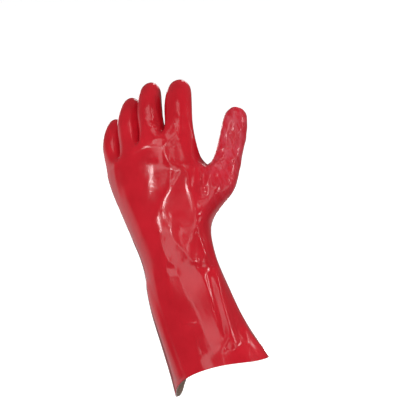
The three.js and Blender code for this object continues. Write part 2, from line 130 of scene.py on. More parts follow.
# Facets seen from the front, where the skin is drawn flat between two edges: the left (or lower) edge
# and the right (or upper) one as lines of places (x, z), how flat it is, 0 to 1, and the lengths over
# which it sets in at its top and dies out at its bottom.
FRONT_FACETS = [
    ("panel",
     [(4, 168), (-7, 158), (-9.5, 137), (-4, 118), (-3.5, 98), (-0.6, 80), (1.2, 62), (0, 45), (2, 30)],
     [(5.5, 168), (4, 149), (11.6, 127), (17, 110), (18.6, 88), (15.7, 63), (15, 42), (10, 28)],
     0.95, 8, 6),
    ("back, left",
     [(22, 243), (14.8, 230), (6.3, 216), (-2.7, 203), (-10.6, 189), (-14.3, 179)],
     [(28, 241), (26.8, 228), (27.9, 217), (23.7, 207), (17.9, 196), (7.7, 186.5), (-4.2, 175.6)],
     0.9, 6, 6),
    ("back, top",
     [(29.9, 216), (24.7, 207), (18.9, 195.5)],
     [(41.2, 210.4), (35.1, 206), (21.2, 195.7)],
     0.9, 3, 3),
    ("back, inner",
     [(42.2, 210), (36.1, 205.6), (24.9, 196.5), (17.8, 192.6), (7.7, 186.5), (-2.5, 177), (-6.4, 170)],
     [(42.9, 207.5), (39.8, 196.4), (37.4, 183), (35.3, 171.5), (33.5, 161), (32.7, 150.5)],
     0.9, 4, 24),
    ("streak, long",
     [(14, 231), (4.8, 217), (-4.6, 203.5)],
     [(15.6, 230), (8, 215.4), (0.4, 202)],
     1, 6, 3),
    ("streak, slanting",
     [(40, 211.5), (26, 201.5), (13, 194), (4, 187), (-7, 177.5)],
     [(41, 209.5), (29, 198), (18, 187.5), (8, 180.5), (-5, 172)],
     0.9, 3, 4),
]

# Finer folds seen from the front: a line of places (x, z) from top to bottom, or from left to right,
# its half widths on the left (or lower) and right (or upper) side, height, sharpness (2 round, 1 a
# crisp crest) and the share of its length over which each end fades.
FRONT_FINE = [
    ("thin ridge", [(33, 104), (31, 89), (28, 76), (26.5, 63), (22.5, 38), (13, 26), (6, 16)],
     2.6, 1.8, 0.9, 1.3, 0.15),
    ("ear, inner", [(39, 42), (43, 20), (54, 0)], 2.2, 1.6, 0.9, 1.3, 0.25),
    ("ear, outer", [(44, 26), (54, 7), (58, -4)], 1.6, 2.2, 0.8, 1.3, 0.25),
    ("left facet", [(-27, 135), (-29, 111), (-32, 90), (-34, 60), (-33, 30), (-36, 8)],
     6, 4, 0.9, 1.5, 0.15),
    ("transverse crease", [(6, 117), (16, 112.5), (29, 104)], 2.2, 3.5, -0.12, 1.5, 0.3),
    ("short crease", [(-17, 62), (-9, 60), (-1, 57)], 1.3, 1.6, 0.45, 1.3, 0.3),
    ("bent crease", [(-8, 48), (-12.5, 35), (-14, 22)], 1.5, 1.5, 0.5, 1.3, 0.3),
    ("right low crease", [(39, 35), (37, 20), (35, 6)], 2.5, 2, 0.6, 1.3, 0.25),
    ("wrist, long", [(44, 209), (38, 192.7), (37, 175), (33.5, 161), (30.5, 145), (30.6, 125), (31, 115)],
     2.4, 2, 0.8, 1.3, 0.08),
    ("wrist, right", [(29, 150), (31.4, 135.6), (32.7, 122), (36, 104)], 2.2, 1.8, -0.9, 1.4, 0.2),
    ("wrist, outer", [(36, 140), (38, 124), (43, 104), (47, 88)], 2.4, 2, 0.7, 1.3, 0.2),
    ("slanting ridge", [(46, 213), (41, 210.4), (26, 199.5), (8.6, 187.2), (-5.9, 172)], 4, 4, 0.5, 2, 0.2),
    ("valley, left arm", [(58.3, 208.6), (55, 195), (52.4, 181.5), (51, 170)], 3, 2.5, -1.1, 1.4, 0.2),
    ("valley, right arm", [(68, 209), (60, 195), (52.4, 181.5)], 2.5, 2.5, 0.8, 1.3, 0.2),
    ("index bracket",
     [(58, 272), (48.2, 250), (31.6, 242), (27.6, 234), (28.2, 223), (33.6, 216.5), (44, 210.5)],
     2.6, 4.5, 1.3, 1.3, 0.12),
    ("streak, short", [(28, 217), (23.7, 207), (17.9, 196)], 2.0, 2.0, 0.5, 1.4, 0.25),
    ("index, outer line", [(62.6, 266), (61.2, 234), (60.7, 213)], 1.8, 2.4, 0.8, 1.3, 0.2),
    ("index, inner line", [(63.4, 290), (56.2, 266), (49.7, 243)], 3.2, 3.2, 0.7, 1.5, 0.2),
    ("middle, hook", [(19, 281), (20.5, 274), (25.6, 267.4), (31.7, 263), (34, 270)],
     1.8, 2.2, 0.9, 1.3, 0.2),
    ("middle, left line", [(25, 301), (22, 288), (20, 276)], 1.8, 2, 0.6, 1.3, 0.25),
    ("middle, right line", [(38, 300), (35, 284), (33, 268)], 1.8, 2, 0.6, 1.3, 0.25),
    ("ring, line", [(12, 304), (5.5, 284), (0, 262), (-2, 250)], 2.2, 2.6, 0.8, 1.3, 0.2),
    ("ring, right line", [(17, 292), (10, 272), (6, 256)], 1.6, 1.8, 0.5, 1.3, 0.25),
    ("little, line", [(-24, 252), (-30, 236), (-33, 218), (-33, 200)], 3, 3, 0.7, 1.5, 0.2),
    ("knuckle, left slope", [(27, 248), (25, 241), (22.5, 235.5), (19.5, 229.5), (16, 224)],
     10, 3, 0.85, 1.3, 0.3),
    ("back, left soft", [(-22, 226), (-26, 200), (-24, 172), (-26, 148)], 7, 6, 0.8, 1.8, 0.2),
    ("thumb base crease", [(93, 200), (95, 190), (88, 178)], 2, 2, -0.9, 1.3, 0.25),
    ("thumb base fold", [(81, 190), (83, 181), (76, 168), (66, 156)], 2.4, 2.6, 0.9, 1.3, 0.2),
    ("thumb, side line", [(114.2, 238), (114.3, 230), (112, 214), (104, 196)], 2, 2, 0.7, 1.3, 0.2),
    ("thumb, middle", [(99, 246), (91, 228), (84, 208), (78, 192)], 3, 3, 0.5, 1.5, 0.2),
    ("thumb, left edge",
     [(105.6, 248.8), (99.9, 244.2), (94.3, 237.2), (90.1, 230.8), (85.1, 223.6), (82.2, 219)],
     1.6, 2.2, 0.6, 1.3, 0.12),
    ("thumb wrinkle 1", [(79, 218), (83, 215.5), (91.1, 217.6), (97, 214)], 1.3, 1.5, 0.9, 1.2, 0.2),
    ("thumb wrinkle 2", [(71, 203.7), (77.9, 206.7), (84.7, 209.8), (92.5, 212.5)],
     1.4, 1.5, 0.9, 1.2, 0.2),
    ("thumb wrinkle 3", [(66.9, 201.8), (75.7, 204.1), (82.3, 203.8), (89.8, 205.5)],
     1.3, 1.5, 0.9, 1.2, 0.2),
    ("thumb wrinkle 4", [(49, 181), (51.6, 185.2), (57.3, 188.6), (65.4, 197.8), (72.4, 204.3)],
     1.6, 2, 0.7, 1.2, 0.15),
    ("thumb wrinkle 5", [(61.7, 208.6), (56, 202.6), (50.7, 194.5), (50.4, 187.9)], 2, 2, 0.9, 1.3, 0.2),
    ("thumb wrinkle 6", [(76.8, 195.7), (83.7, 198.8), (92.3, 203.4)], 1.4, 1.6, 0.9, 1.2, 0.25),
]

# Finer folds seen from the rear, in the same way
REAR_FINE = [
    ("gauntlet, left", [(-14, 150), (-18, 120), (-17, 88), (-22, 52), (-24, 14)], 4, 6, 1.1, 1.4, 0.15),
    ("gauntlet, left valley", [(-6, 128), (-7, 96), (-9, 60), (-8, 28)], 4, 3, -0.9, 1.5, 0.2),
    ("gauntlet, middle", [(6, 118), (4, 90), (7, 58), (5, 22)], 3.4, 5, 1.0, 1.4, 0.2),
    ("gauntlet, right", [(27, 132), (25, 104), (29, 70), (33, 34), (38, 4)], 5, 4, 1.1, 1.4, 0.15),
    ("gauntlet, right thin", [(17, 84), (20, 58), (19, 34)], 2, 2, 0.7, 1.3, 0.25),
    ("rim ear", [(-40, 40), (-42, 20), (-46, 2)], 3, 3, 0.9, 1.4, 0.2),
    ("wrist, upper", [(-26, 152), (-6, 146), (14, 150), (32, 146)], 2.4, 3, -1.2, 1.4, 0.2),
    ("wrist, lower", [(-24, 138), (-2, 134), (22, 138)], 2.2, 2.4, 0.9, 1.3, 0.2),
    ("heel, ridge", [(-20, 176), (0, 166), (24, 164), (38, 158)], 3, 3.5, 1.0, 1.4, 0.2),
    ("thumb ball, inner", [(38, 222), (28, 208), (24, 190), (28, 168), (34, 152)], 3, 3.4, -1.3, 1.4, 0.12),
    ("thumb ball, ridge", [(52, 214), (42, 198), (38, 180), (42, 162)], 3.4, 3, 0.9, 1.4, 0.2),
    ("palm, upper line", [(-24, 228), (-6, 236), (16, 234), (40, 240)], 2.4, 2.8, -1.0, 1.4, 0.15),
    ("palm, lower line", [(-26, 208), (-8, 214), (12, 210), (30, 216)], 2.4, 2.6, -0.9, 1.4, 0.2),
    ("palm, slant", [(4, 204), (-6, 190), (-12, 174)], 2.4, 2.8, 0.8, 1.4, 0.25),
    ("thumb, crease", [(78, 214), (86, 206), (94, 204)], 1.6, 1.8, -0.7, 1.4, 0.25),
    ("thumb, crease 2", [(88, 232), (96, 226), (104, 224)], 1.6, 1.8, -0.6, 1.4, 0.25),
]


# The glove's control cage
def turned(axis, toward, angle):
    """One axis turned toward another by an angle."""
    return axis * math.cos(angle) + toward * math.sin(angle)


def shifted(point, axes, lengths):
    """The point reached from another by some lengths along some axes."""
    return point + sum(axis * length for axis, length in zip(axes, lengths))


def lerp(a, b, t):
    return a + (b - a) * t


def smoothstep(x, lo, hi):
    t = np.clip((x - lo) / (hi - lo), 0, 1)
    return t * t * (3 - 2 * t)


def ring_swell(count):
    """How much larger than its curve the control ring of a round section is."""
    return 3 / (2 + math.cos(2 * math.pi / count))


def arch_height(across):
    """Height of the knuckles' arch at a share of their half width."""
    return KNUCKLE_ARCH * (0.5 - across * across)


def bend_at(share):
    """How far a finger is bent at a share of its length."""
    middle = smoothstep(share, *MIDDLE_JOINT_SPAN)
    end = smoothstep(share, *END_JOINT_SPAN)
    bend = KNUCKLE_FLEXION + MIDDLE_JOINT_FLEXION * middle + END_JOINT_FLEXION * end
    return math.radians(bend)


TURN = math.radians(HAND_TURN)
ACROSS = np.array([math.cos(TURN), -math.sin(TURN), 0])
BACK = np.array([-math.sin(TURN), -math.cos(TURN), 0])
UP = np.array([0, 0, 1.0])


def bent_axes(flexion, lean):
    ahead = turned(UP, BACK, -flexion)
    return turned(ahead, ACROSS, lean), turned(ACROSS, ahead, -lean), turned(BACK, UP, flexion)


# where the thumb leaves the hand: its lowest section, and the columns it takes the place of
THUMB_ROW = len(GAUNTLET_ROWS) + 1
THUMB_COLUMNS = (4, 5)


def compact(points, faces):
    """The points that faces use, and the faces numbered by them."""
    used = np.unique(faces)
    return points[used], np.searchsorted(used, faces)


def make_cage(depth):
    """Points and four-sided faces of the surface that lies a depth below the skin. Each point also has
    its height (0 rim, 1 wrist, 2 webs, 3 fingertips) and its share in the thumb."""
    points, quads = [], []

    def add_point(vector, up, thumb=0.0):
        points.append([*vector, up, thumb])
        return len(points) - 1

    def grow_ring(ring, vectors, up, thumb=0.0):
        following = [add_point(v, up, thumb) for v in vectors]
        for i, point in enumerate(ring):
            j = (i + 1) % len(ring)
            quads.append([point, ring[j], following[j], following[i]])
        return following

    body_swell = ring_swell(len(COLUMNS))
    rings = []
    for up, flare, bow, rim in GAUNTLET_ROWS:
        half_width = (lerp(WRIST_WIDTH, MOUTH_WIDTH, flare) / 2 - depth) * body_swell
        half_depth = (lerp(WRIST_DEPTH, MOUTH_DEPTH, flare) / 2 - depth) * body_swell
        centre = np.array([GAUNTLET_BOW * bow, 0, GAUNTLET_LENGTH * up])
        ring = []
        for a, b, r, _ in COLUMNS:
            offsets = [half_width * a, half_depth * b, RIM_WAVE * rim * r]
            ring.append(add_point(shifted(centre, [ACROSS, BACK, UP], offsets), up))
        rings.append(ring)
    palm_start = np.array([GAUNTLET_BOW / 2, 0, GAUNTLET_LENGTH])
    centre = palm_start
    before = 0
    for up, spread, flat, arch, bend, thenar, notch in PALM_ROWS:
        along, across, back = bent_axes(math.radians(WRIST_FLEXION * bend), math.radians(WRIST_LEAN * bend))
        centre = centre + along * PALM_LENGTH * (up - before)
        before = up
        swell = lerp(body_swell, 1, flat)
        half_width = (lerp(WRIST_WIDTH, KNUCKLE_WIDTH, spread) / 2 - depth) * body_swell
        half_depth = (lerp(WRIST_DEPTH, KNUCKLE_DEPTH, spread) / 2 - depth) * swell
        ring = []
        for column, (a, b, _, _) in enumerate(COLUMNS):
            flat_lift = np.sign(b) * min(1, abs(b) * 1.5)
            lift = half_depth * lerp(b, flat_lift, flat) + arch_height(a) * arch
            lift -= THENAR_SWELL * thenar * 2 * max(0, a) * max(0, -b)
            inward = WEB_NOTCH * notch if column == 5 else 0
            ring.append(add_point(shifted(centre, [across, back], [half_width * a - inward, lift]), 1 + up))
        rings.append(ring)
    web_ring = rings[-1]
    for column, point in enumerate(web_ring):
        move = along * (-WEB_DROP - WEB_SLOPE * COLUMNS[column][3] - depth)
        points[point][:3] = np.array(points[point][:3]) + move

    for row in range(len(rings) - 1):
        lower, upper = rings[row], rings[row + 1]
        beside_thumb = THUMB_ROW <= row < THUMB_ROW + 2
        for i in range(len(COLUMNS)):
            if beside_thumb and i in THUMB_COLUMNS:
                continue
            j = (i + 1) % len(COLUMNS)
            quads.append([lower[i], lower[j], upper[j], upper[i]])

    webs = [
        add_point(shifted(centre, [across, back, along],
                          [KNUCKLE_WIDTH / 2 * a, arch_height(a), -WEB_SLOPE * step - 2 * depth]), 2)
        for a, _, _, step in COLUMNS[1:4]
    ]
    finger_swell = ring_swell(6)
    for i, (reach, girth, splay, roll) in enumerate(FINGERS):
        left_web = web_ring[11] if i == 0 else webs[i - 1]
        right_web = web_ring[5] if i == 3 else webs[i]
        roll, splay = math.radians(roll), math.radians(splay)
        side = turned(across, back, roll)
        lift = turned(back, across, -roll)
        straight = turned(along, side, splay)
        level = turned(side, along, -splay)
        step = (COLUMNS[i][3] + COLUMNS[i + 1][3]) / 2
        place = (i - 1.5) / 2
        tip = shifted(centre, [across, back, along],
                      [KNUCKLE_WIDTH / 2 * place, arch_height(place), -WEB_DROP / 2 - WEB_SLOPE * step])
        ring = [web_ring[i], web_ring[i + 1], right_web, web_ring[9 - i], web_ring[10 - i], left_web]
        reached = 0
        for share, row_girth, row_tip in FINGER_ROWS:
            half_way = bend_at((share + reached) / 2)
            tip = tip + turned(straight, lift, -half_way) * FINGER_LENGTH * reach * (share - reached)
            reached = share
            bend = bend_at(share)
            ahead, over = turned(straight, lift, -bend), turned(lift, straight, bend)
            half_width = (FINGER_WIDTH / 2 * girth - depth) * row_girth * finger_swell
            half_depth = (FINGER_DEPTH / 2 * girth - depth) * row_girth * finger_swell
            ring = grow_ring(ring, [
                shifted(tip, [level, over, ahead],
                        [half_width * math.cos(g), half_depth * math.sin(g), -depth * row_tip])
                for g in map(math.radians, (120, 60, 0, -60, -120, 180))
            ], 2 + share)
        quads.append([ring[0], ring[1], ring[2], ring[5]])
        quads.append([ring[5], ring[2], ring[3], ring[4]])

    low, middle, high = rings[THUMB_ROW:THUMB_ROW + 3]
    ring = [low[4], low[5], low[6], middle[6], high[6], high[5], high[4], middle[4]]
    thumb_swell = ring_swell(8)
    for number, (share, out, drop, tilt, width, thick, row_tip, web) in enumerate(THUMB_ROWS):
        place = shifted(palm_start, [along, across, back],
                        [PALM_LENGTH * share, THUMB_OUT * out, -THUMB_DROP * drop])
        ahead = turned(across, along, math.radians(tilt))
        web_side = turned(along, across, -math.radians(tilt))
        half_width = (THUMB_WIDTH / 2 - depth) * width * thumb_swell
        half_depth = (THUMB_WIDTH / 2 - depth) * thick * thumb_swell
        vectors = []
        for g in map(math.radians, (315, 270, 225, 180, 135, 90, 45, 0)):
            back_set = -depth * (row_tip + web * max(0, math.sin(g)) ** 3)
            vectors.append(shifted(place, [back, web_side, ahead],
                                   [half_depth * math.cos(g), half_width * math.sin(g), back_set]))
        ring = grow_ring(ring, vectors, 1.5 + 0.2 * number, min(1.0, 0.4 + 0.3 * number))
    quads.append([ring[0], ring[1], ring[6], ring[7]])
    quads.append([ring[1], ring[2], ring[5], ring[6]])
    quads.append([ring[2], ring[3], ring[4], ring[5]])

    return compact(np.array(points), np.array(quads))


def edges_of(faces):
    """Edges of four-sided faces: their ends, the edge of each face side, and how many faces share each."""
    ends = np.stack([faces, np.roll(faces, -1, 1)], 2).reshape(-1, 2)
    unique, place = np.unique(np.sort(ends, 1), axis=0, return_inverse=True)
    place = place.reshape(-1)
    return unique, place, np.bincount(place, minlength=len(unique))


def gather(total, places, values):
    """Sums of rows of values over the places they belong to."""
    return np.stack([np.bincount(places, values[:, k], total) for k in range(values.shape[1])], 1)


def refine(points, faces):
    """One step of Catmull-Clark smoothing with the cuff mouth as its only open edge."""
    n, m = len(points), len(faces)
    centres = points[faces].mean(1)
    ends, place, count = edges_of(faces)
    middles = points[ends].mean(1)
    sides = gather(len(ends), place, np.repeat(centres, 4, 0))
    inner = (count == 2)[:, None]
    edge_points = np.where(inner, (middles * 2 + sides) / 4, middles)
    valence = np.bincount(faces.reshape(-1), minlength=n)[:, None]
    face_mean = gather(n, faces.reshape(-1), np.repeat(centres, 4, 0)) / valence
    both = np.concatenate([ends[:, 0], ends[:, 1]])
    degree = np.bincount(both, minlength=n)[:, None]
    edge_mean = gather(n, both, np.concatenate([middles, middles])) / degree
    moved = (face_mean + 2 * edge_mean + (valence - 3) * points) / valence
    rim = ends[count == 1]
    rim_middles = middles[count == 1]
    on_rim = np.unique(rim)
    rim_sum = gather(n, rim.T.reshape(-1), np.concatenate([rim_middles, rim_middles]))
    moved[on_rim] = (2 * points[on_rim] + rim_sum[on_rim]) / 4
    after = n + place.reshape(m, 4)
    middle = n + len(ends) + np.arange(m)
    finer = np.stack([faces, after, np.repeat(middle[:, None], 4, 1), np.roll(after, 1, 1)], 2)
    return np.concatenate([moved, edge_points, centres]), finer.reshape(-1, 4)


def settled(points, faces):
    """The points moved to the smooth surface that such steps tend to."""
    n = len(points)
    ends, _, count = edges_of(faces)
    valence = np.bincount(faces.reshape(-1), minlength=n)[:, None]
    opposite = gather(n, faces.reshape(-1), points[np.roll(faces, 2, 1).reshape(-1)])
    both = np.concatenate([ends[:, 0], ends[:, 1]])
    other = np.concatenate([ends[:, 1], ends[:, 0]])
    beside = gather(n, both, points[other])
    result = (points * valence ** 2 + 4 * beside + opposite) / (valence * (valence + 5))
    rim = ends[count == 1]
    rim_both = np.concatenate([rim[:, 0], rim[:, 1]])
    rim_sum = gather(n, rim_both, points[np.concatenate([rim[:, 1], rim[:, 0]])])
    on_rim = np.unique(rim)
    result[on_rim] = (4 * points[on_rim] + rim_sum[on_rim]) / 6
    return result


def normals_of(points, faces):
    """Unit normals at the points, from the diagonals of the faces round each."""
    a, b, c, d = (points[faces[:, k], :3] for k in range(4))
    normals = gather(len(points), faces.reshape(-1), np.repeat(np.cross(c - a, d - b), 4, 0))
    return normals / np.linalg.norm(normals, axis=1, keepdims=True)


def surface(depth, level):
    """The smooth surface a depth below the skin, refined a number of times."""
    points, faces = make_cage(depth)
    for _ in range(level):
        points, faces = refine(points, faces)
    return settled(points, faces), faces


# Folds
def along_line(place, line):
    """Signed distance of places to a line of points and how far along it they are, 0 to 1. The distance
    is positive on the right of a line that runs down, and above one that runs to the right."""
    line = np.array(line, float)
    runs = np.diff(line, axis=0)
    lengths = np.linalg.norm(runs, axis=1)
    starts = np.concatenate([[0], np.cumsum(lengths)])
    best = np.full(len(place), 1e9)
    signed = np.zeros(len(place))
    share = np.zeros(len(place))
    for k, run in enumerate(runs):
        away = place - line[k]
        t = np.clip(away @ run / lengths[k] ** 2, 0, 1)
        gap = away - t[:, None] * run
        distance = np.linalg.norm(gap, axis=1)
        side = np.sign(run[0] * away[:, 1] - run[1] * away[:, 0])
        nearer = distance < best
        best = np.where(nearer, distance, best)
        signed = np.where(nearer, distance * side, signed)
        share = np.where(nearer, (starts[k] + t * lengths[k]) / starts[-1], share)
    return signed, share


def smooth_line(line, steps=6):
    """The same line through its points with rounded bends."""
    line = np.array(line, float)
    if len(line) < 3:
        return line
    padded = np.concatenate([[2 * line[0] - line[1]], line, [2 * line[-1] - line[-2]]])
    points = []
    for k in range(1, len(padded) - 2):
        p0, p1, p2, p3 = padded[k - 1:k + 3]
        for s in range(steps):
            t = s / steps
            points.append(0.5 * (2 * p1 + (p2 - p0) * t + (2 * p0 - 5 * p1 + 4 * p2 - p3) * t ** 2
                                 + (3 * p1 - p0 - 3 * p2 + p3) * t ** 3))
    points.append(line[-1])
    return np.array(points)


def fine_rise(place, folds):
    """Rise of the skin from a table of finer folds at places seen square on."""
    rise = np.zeros(len(place))
    for _, line, left, right, height, sharp, fade in folds:
        reach = 4 * max(left, right)
        line = smooth_line(line)
        lo, hi = line.min(0) - reach, line.max(0) + reach
        near = np.flatnonzero(((place > lo) & (place < hi)).all(1))
        distance, share = along_line(place[near], line)
        width = np.where(distance > 0, right, left)
        ends = smoothstep(share, 0, fade) * (1 - smoothstep(share, 1 - fade, 1))
        rise[near] += height * ends * np.exp(-(np.abs(distance) / width) ** sharp)
    return rise


def height_of(up):
    """Height z of a place given as the part's folds are, 0 at the rim, 1 at the wrist and 2 at the webs."""
    return GAUNTLET_LENGTH * up if up < 1 else GAUNTLET_LENGTH + PALM_LENGTH * (up - 1)


def main_rise(place, facing, folds):
    """Rise of the skin from the part's own main folds."""
    rise = np.zeros(len(place))
    for up, out, width, height in folds:
        start = np.array([out[0] * KNUCKLE_WIDTH / 2, height_of(up[0])])
        run = np.array([out[1] * KNUCKLE_WIDTH / 2, height_of(up[1])]) - start
        t = np.clip((place - start) @ run / (run @ run), 0, 1)
        distance = np.linalg.norm(place - start - t[:, None] * run, axis=1)
        inside = np.maximum(0, 1 - (distance / (FOLD_HALF_WIDTH * width)) ** 2)
        rise += FOLD_HEIGHT * height * inside ** 2
    return rise * smoothstep(facing, *MAIN_FACING)


# Small waves of the skin, from noise: height, size of a cell in x, y and z, place in the noise
GAUNTLET_WAVES = [(0.55, (15, 15, 70), 3.3), (0.22, (7, 7, 30), 8.1)]
HAND_WAVES = [(0.16, (14, 14, 26), 5.7), (0.07, (6, 6, 11), 1.9)]
THUMB_WAVES = [(0.45, (3.4, 7, 9), 4.4)]
THUMB_WAVE_AXES = np.array([[0.75, 0.2, -0.63], [0, 1, 0], [0.64, 0, 0.77]])
NOISE_CELLS = 32
LATTICE = np.random.RandomState(7).uniform(-1, 1, (NOISE_CELLS, NOISE_CELLS, NOISE_CELLS))


def noise(points, size, offset):
    """Smooth random values between -1 and 1 over a lattice of cells of a size, in millimetres."""
    p = points / np.array(size) + offset
    i = np.floor(p).astype(int)
    f = p - i
    f = f * f * f * (f * (f * 6 - 15) + 10)
    total = np.zeros(len(points))
    for corner in np.ndindex(2, 2, 2):
        weight = np.abs(1 - np.array(corner) - f).prod(1)
        cell = (i + np.array(corner)) % NOISE_CELLS
        total += weight * LATTICE[tuple(cell.T)]
    return total


def waves(points, table):
    """Rise of the skin from a table of waves."""
    return sum(height * noise(points, size, offset) for height, size, offset in table)


# A facet's edges: how far round a place the skin's points count, squared, and how softly they fade; the
# steps along it, the weights that even its depth out, and its least width
PATCH_REACH_SQUARED = 20
PATCH_SOFTNESS = 6
FACET_STEPS = 40
EDGE_WEIGHTS = np.array([1, 2, 3, 2, 1]) / 9
LEAST_FACET_WIDTH = 0.3


def depth_near(points, spots):
    """Depth y of the skin at places (x, z), from the points round each."""
    depths = []
    for spot in spots:
        away = points[:, [0, 2]] - spot
        gap = (away ** 2).sum(1)
        near = np.flatnonzero(gap < PATCH_REACH_SQUARED)
        weight = np.exp(-gap[near] / PATCH_SOFTNESS)[:, None]
        terms = np.column_stack([np.ones(len(near)), away[near]])
        depths.append(np.linalg.lstsq(terms * weight, points[near, 1:2] * weight, rcond=None)[0][0, 0])
    return np.array(depths)


def facet_edge(points, line, run, side, levels):
    """An edge of a facet at some levels along its run: how far across it lies, and the skin's depth."""
    order = np.argsort(line @ run)
    across = np.interp(levels, (line @ run)[order], (line @ side)[order])
    depth = depth_near(points, levels[:, None] * run + across[:, None] * side)
    return across, np.convolve(np.pad(depth, len(EDGE_WEIGHTS) // 2, "edge"), EDGE_WEIGHTS, "valid")


def flatten(points, chosen, first, second, flatness, top_fade, bottom_fade):
    """Moves the chosen points toward the straight lines drawn across a facet from one edge to the other."""
    first, second = smooth_line(first), smooth_line(second)
    run = first[-1] + second[-1] - first[0] - second[0]
    run /= np.linalg.norm(run)
    side = np.array([-run[1], run[0]])
    levels = np.linspace(max((first @ run).min(), (second @ run).min()),
                         min((first @ run).max(), (second @ run).max()), FACET_STEPS)
    edges = [facet_edge(points[chosen], line, run, side, levels) for line in (first, second)]
    place = points[:, [0, 2]]
    level, offset = place @ run, place @ side
    a, b = (np.interp(level, levels, across) for across, _ in edges)
    a_depth, b_depth = (np.interp(level, levels, depth) for _, depth in edges)
    share = (offset - a) / np.where(np.abs(b - a) < LEAST_FACET_WIDTH, LEAST_FACET_WIDTH, b - a)
    target = a_depth * (1 - share) + b_depth * share
    fade = smoothstep(level, levels[0], levels[0] + top_fade)
    fade *= 1 - smoothstep(level, levels[-1] - bottom_fade, levels[-1])
    inside = chosen & (share > 0) & (share < 1)
    points[inside, 1] += ((target - points[:, 1]) * fade * flatness)[inside]


def fold_moves(points, faces):
    """How far the folds move each point of the skin."""
    normals = normals_of(points, faces)
    facing = -normals[:, 1]
    where, up, thumb = points[:, :3], points[:, 3], points[:, 4]
    place = where[:, [0, 2]]
    # at the rim the folds push level, so that its edge keeps the part's wave
    push = normals.copy()
    push[:, 2] *= smoothstep(up, 0, RIM_REACH)
    push /= np.linalg.norm(push, axis=1, keepdims=True)
    # long soft waves down the gauntlet, shorter ones over the hand, small wrinkles over the thumb
    hand = smoothstep(up, *WRIST_BLEND)
    rise = main_rise(place, facing, FRONT_MAIN) + main_rise(place, -facing, REAR_MAIN)
    rise += (1 - hand) * waves(where, GAUNTLET_WAVES)
    rise += hand * waves(where, HAND_WAVES)
    rise += thumb * waves(where @ THUMB_WAVE_AXES.T, THUMB_WAVES)
    bent = where + push * rise[:, None]
    for _, *facet in FRONT_FACETS:
        flatten(bent, facing > FACET_FACING, *facet)
    front = smoothstep(facing, *FINE_FACING)
    rear = smoothstep(-facing, *FINE_FACING)
    rise = front * fine_rise(place, FRONT_FINE) + rear * fine_rise(place, REAR_FINE)
    return bent + push * rise[:, None] - where


# Meshes
COAT_LEVEL = 4
LINING_LEVEL = 3
# past the cuff the lining's inner side lies deeper, by this much, over this range of heights
INNER_SLACK = 1.1
SLACK_RANGE = (0.08, 0.3)


def make_object(name, points, faces):
    """A smoothly shaded mesh from points in metres."""
    mesh = bpy.data.meshes.new(name)
    mesh.from_pydata(points, [], faces)
    mesh.polygons.foreach_set("use_smooth", np.ones(len(mesh.polygons), bool))
    mesh.update()
    made = bpy.data.objects.new(name, mesh)
    bpy.context.scene.collection.objects.link(made)
    return made


def rim_strip(faces, count):
    """Faces from the open edge of a surface to the same edge of a second one, numbered count higher."""
    ends = np.stack([faces, np.roll(faces, -1, 1)], 2).reshape(-1, 2)
    _, place, shared = edges_of(faces)
    open_ends = ends[shared[place] == 1]
    return np.stack([open_ends[:, 1], open_ends[:, 0], open_ends[:, 0] + count, open_ends[:, 1] + count], 1)


def lowest_faces(faces, level):
    """The faces that come from the cage's lowest row."""
    return faces[:len(COLUMNS) * 4 ** level]


def folded(points, moves):
    """A surface's points after the folds' moves. A coarser surface's points are a finer one's first."""
    result = points.copy()
    result[:, :3] += moves[:len(points)]
    return result


def wall(outer, inner, faces, outer_faces, inner_faces):
    """A wall of two surfaces with the same numbering, joined at the rim."""
    count = len(outer)
    joined = np.concatenate([outer_faces, inner_faces[:, ::-1] + count, rim_strip(faces, count)])
    return compact(np.concatenate([outer, inner]), joined)


def make_coat(skin, faces, moves):
    """The skin, with its inner side just inside the cuff, where it shows."""
    inner = surface(COAT_WALL, COAT_LEVEL)[0]
    shown = lowest_faces(faces, COAT_LEVEL)
    points, faces = wall(folded(skin, moves), folded(inner, moves), faces, faces, shown)
    made = make_object("coat_skin", (points[:, :3] * MM).tolist(), faces.tolist())
    thumb = made.data.attributes.new("thumb", "FLOAT", "POINT")
    thumb.data.foreach_set("value", points[:, 4].astype(np.float32))
    return made


def make_lining(moves):
    """The lining's inner side, with its outer side just inside the cuff."""
    depth = COAT_WALL + LAYER_GAP
    outer, faces = surface(depth, LINING_LEVEL)
    near = surface(depth + LINING_WALL, LINING_LEVEL)[0]
    deep = surface(depth + LINING_WALL + INNER_SLACK, LINING_LEVEL)[0]
    share = smoothstep(near[:, 3], *SLACK_RANGE)[:, None]
    inner = near * (1 - share) + deep * share
    shown = lowest_faces(faces, LINING_LEVEL)
    points, faces = wall(folded(outer, moves), folded(inner, moves), faces, shown, faces)
    return make_object("knit_lining", (points[:, :3] * MM).tolist(), faces.tolist())


skin, skin_faces = surface(0, COAT_LEVEL)
moves = fold_moves(skin, skin_faces)
coat = make_coat(skin, skin_faces, moves)
lining = make_lining(moves)


# Materials
def new_material(name):
    material = bpy.data.materials.new(name)
    material.use_nodes = True
    return material, material.node_tree, material.node_tree.nodes["Principled BSDF"]


def add(tree, kind, **settings):
    """A new node. Another node's output is linked to the input of that name, and any other value is set
    on that input or, where there is none, on the node itself."""
    node = tree.nodes.new(kind)
    for key, value in settings.items():
        if isinstance(value, bpy.types.NodeSocket):
            tree.links.new(value, node.inputs[key])
        elif key in node.inputs:
            node.inputs[key].default_value = value
        else:
            setattr(node, key, value)
    return node


def calculate(tree, operation, *values):
    """The result of a math node on numbers and on other nodes' outputs."""
    node = add(tree, "ShaderNodeMath", operation=operation)
    for socket, value in zip(node.inputs, values):
        if isinstance(value, bpy.types.NodeSocket):
            tree.links.new(value, socket)
        else:
            socket.default_value = value
    return node.outputs["Value"]


def noise_texture(tree, place, look):
    scale, detail, roughness = look
    texture = add(tree, "ShaderNodeTexNoise", Vector=place, Scale=scale, Detail=detail, Roughness=roughness)
    return texture.outputs["Fac"]


